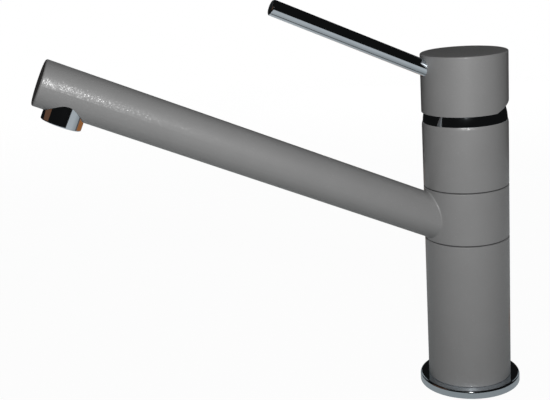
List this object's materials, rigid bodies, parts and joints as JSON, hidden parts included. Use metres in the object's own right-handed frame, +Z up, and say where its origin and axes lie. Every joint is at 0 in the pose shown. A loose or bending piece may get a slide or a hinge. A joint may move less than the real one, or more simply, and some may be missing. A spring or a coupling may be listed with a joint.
{
  "type": "mixer tap",
  "caption": "Single-lever kitchen mixer tap: round column, straight rising spout that swivels, aerator under its tip, tilting cap with a rod lever, and a flat base ring.",
  "frame": {"origin": "centre of the base ring's underside, on the column's axis, in the plane of the deck", "axes": "+Z up along the column, -Y towards the spout's tip and the lever at rest, +X to the right of someone facing the rear of the spout"},
  "size_m": [0.0534, 0.241, 0.2131],
  "materials": {
    "grey_paint": "fine textured grey powder coat on brass",
    "chrome": "polished chrome plate",
    "brass": "turned and cast",
    "steel": "stainless steel",
    "rubber": "moulded black rubber",
    "black_plastic": "moulded acetal",
    "white_plastic": "moulded acetal",
    "grey_plastic": "moulded plastic",
    "ceramic": "lapped alumina"
  },
  "bodies": {
    "column": {"base_ring": "chrome", "base_gasket": "rubber", "lower_body": "grey_paint", "foot_nut": "brass", "valve_core": "brass", "lower_slip_ring": "black_plastic", "upper_slip_ring": "black_plastic", "spout_o_rings": "rubber", "upper_body": "grey_paint", "dome_ring": "chrome", "cartridge_nut": "brass", "cartridge_shell": "white_plastic", "cartridge_base": "grey_plastic", "port_seals": "rubber", "fixed_disc": "ceramic"},
    "spout": {"spout_collar": "grey_paint", "spout_tube": "grey_paint", "spout_end_cap": "grey_paint", "outlet_socket": "brass", "aerator_housing": "chrome", "aerator_insert": "grey_plastic", "aerator_screen": "steel", "aerator_washer": "rubber"},
    "rotor": {"rotor": "grey_plastic", "pivot_pin": "steel"},
    "discs": {"disc_carrier": "white_plastic", "moving_disc": "ceramic"},
    "lever": {"lever_stem": "steel", "lever_cap": "grey_paint", "lever_rod": "chrome", "grub_screw": "steel", "index_plug": "grey_plastic"}
  },
  "joints": [
    {"name": "spout_swivel", "type": "hinge", "parent": "column", "child": "spout", "pos_m": [0, 0, 0.0965], "axis": [0, 0, 1], "continuous": true},
    {"name": "lever_turn", "type": "hinge", "parent": "column", "child": "rotor", "pos_m": [0, 0, 0.1443], "axis": [0, 0, 1], "range_deg": [-50, 50]},
    {"name": "lever_lift", "type": "hinge", "parent": "rotor", "child": "lever", "pos_m": [0, 0, 0.1443], "axis": [-1, 0, 0], "range_deg": [0, 25]},
    {"name": "disc_slide", "type": "slide", "parent": "rotor", "child": "discs", "axis": [0, -1, 0], "range_m": [0, 0.004]}
  ],
  "couplings": [
    {"joint": "disc_slide", "follows": "lever_lift", "m_per_rad": 0.009167}
  ]
}
